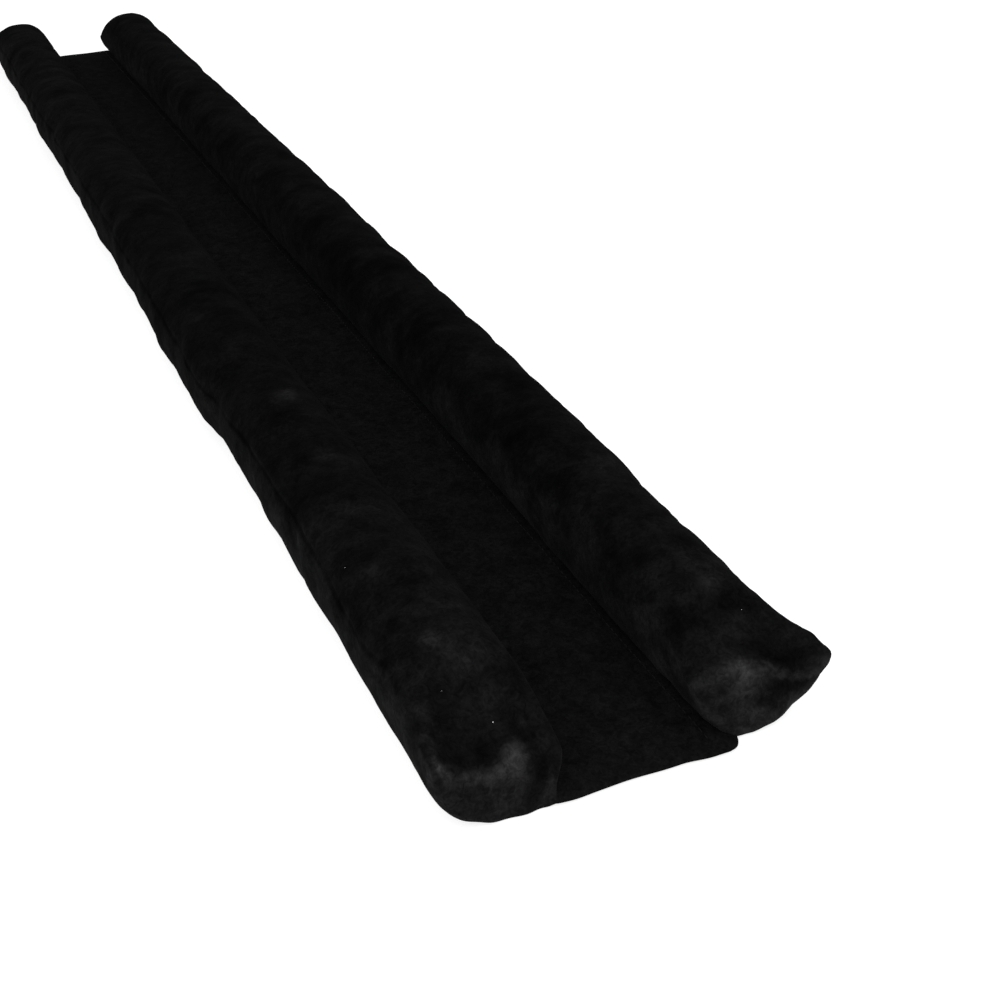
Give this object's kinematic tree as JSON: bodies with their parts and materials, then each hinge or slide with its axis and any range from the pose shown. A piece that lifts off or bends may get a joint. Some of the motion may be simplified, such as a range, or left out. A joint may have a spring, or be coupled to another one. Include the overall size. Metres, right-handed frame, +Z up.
{
  "type": "draught excluder",
  "caption": "Long soft door draught excluder: twin filled velvet sleeves joined by a flat cloth web that a door stands over",
  "frame": {"origin": "on the floor, at the middle of the part's length and width", "axes": "+X runs along the two sleeves, away from the end that faces the viewer, +Y points to the sleeve on the viewer's left, +Z is up"},
  "size_m": [0.9, 0.1201, 0.0357],
  "materials": {
    "velvet": "short black pile, matt with a soft sheen"
  },
  "bodies": {
    "root": {"sleeve_left": "velvet", "sleeve_right": "velvet", "web": "velvet"}
  },
  "joints": []
}
